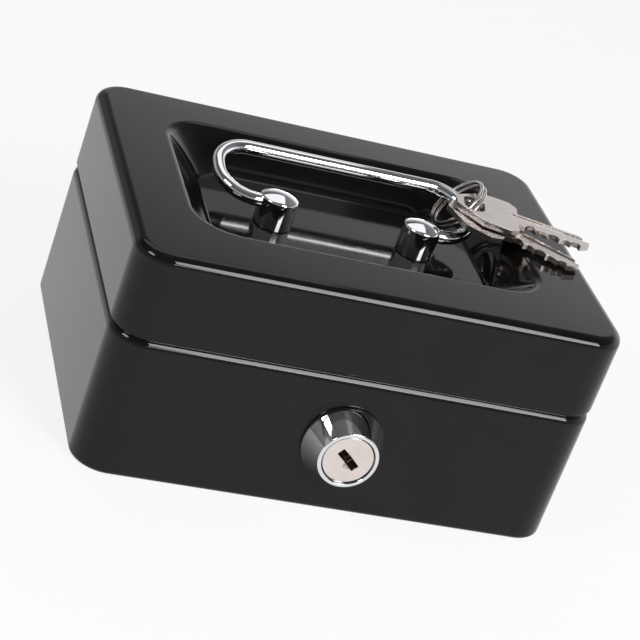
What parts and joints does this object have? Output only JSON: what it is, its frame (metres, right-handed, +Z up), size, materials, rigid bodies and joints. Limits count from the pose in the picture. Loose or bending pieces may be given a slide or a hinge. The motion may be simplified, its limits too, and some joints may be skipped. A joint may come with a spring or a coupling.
{
  "type": "cash box",
  "caption": "Small steel cash box with a hinged lid, a folding wire handle in a lid recess, a front cam lock, a lift-out coin tray and keys on a split ring.",
  "frame": {"origin": "middle of the base's flat underside", "axes": "+X along the front to the right, +Y towards the hinge, +Z up"},
  "size_m": [0.1274, 0.1071, 0.0681],
  "materials": {
    "black_paint": "gloss black baked enamel",
    "chrome_plate": "bright plated",
    "key_nickel": "nickel plated, lightly worn",
    "zinc_steel": "zinc plated",
    "tray_plastic": "matt moulded",
    "wafer_brass": "stamped"
  },
  "bodies": {
    "base": {"base_shell": "black_paint", "hinge_leaf_base": "black_paint", "hinge_pin": "zinc_steel", "hinge_rivets_base": "zinc_steel", "lock_housing": "chrome_plate", "lock_nut": "zinc_steel"},
    "lid": {"lid_shell": "black_paint", "hinge_leaf_lid": "black_paint", "hinge_rivets_lid": "zinc_steel", "handle_post_left": "chrome_plate", "handle_post_right": "chrome_plate", "post_washers": "zinc_steel", "post_screws": "zinc_steel", "lid_strike": "zinc_steel"},
    "handle": {"handle_bail": "chrome_plate"},
    "ring": {"key_ring": "key_nickel"},
    "low_key": {"key_low": "key_nickel"},
    "high_key": {"key_high": "key_nickel"},
    "lock": {"lock_plug": "chrome_plate", "lock_wafers": "wafer_brass", "lock_cam": "zinc_steel", "cam_washer": "zinc_steel", "cam_screw": "zinc_steel"},
    "tray": {"coin_tray": "tray_plastic"}
  },
  "joints": [
    {"name": "lid_hinge", "type": "hinge", "parent": "base", "child": "lid", "pos_m": [0, 0.05, 0.0382], "axis": [-1, 0, 0], "range_deg": [0, 105]},
    {"name": "handle_pivot", "type": "hinge", "parent": "lid", "child": "handle", "pos_m": [0, 0, 0.0568], "axis": [1, 0, 0], "range_deg": [0, 76]},
    {"name": "ring_hang", "type": "hinge", "parent": "handle", "child": "ring", "pos_m": [0.0324, 0.013, 0.062], "axis": [1, 0, 0], "range_deg": [-76, 0]},
    {"name": "low_key_swing", "type": "hinge", "parent": "ring", "child": "low_key", "pos_m": [0.03189, 0.00585, 0.0625], "axis": [0, 0, 1], "range_deg": [-8, 5]},
    {"name": "high_key_swing", "type": "hinge", "parent": "ring", "child": "high_key", "pos_m": [0.03342, 0.00648, 0.0643], "axis": [0, 0, 1], "range_deg": [-8, 6]},
    {"name": "lock_turn", "type": "hinge", "parent": "base", "child": "lock", "pos_m": [0, -0.045, 0.0195], "axis": [0, 1, 0], "range_deg": [0, 90]},
    {"name": "tray_lift", "type": "slide", "parent": "base", "child": "tray", "axis": [0, 0, 1], "range_m": [0, 0.0024]}
  ],
  "couplings": [
    {"joint": "ring_hang", "follows": "handle_pivot", "ratio": -1}
  ]
}
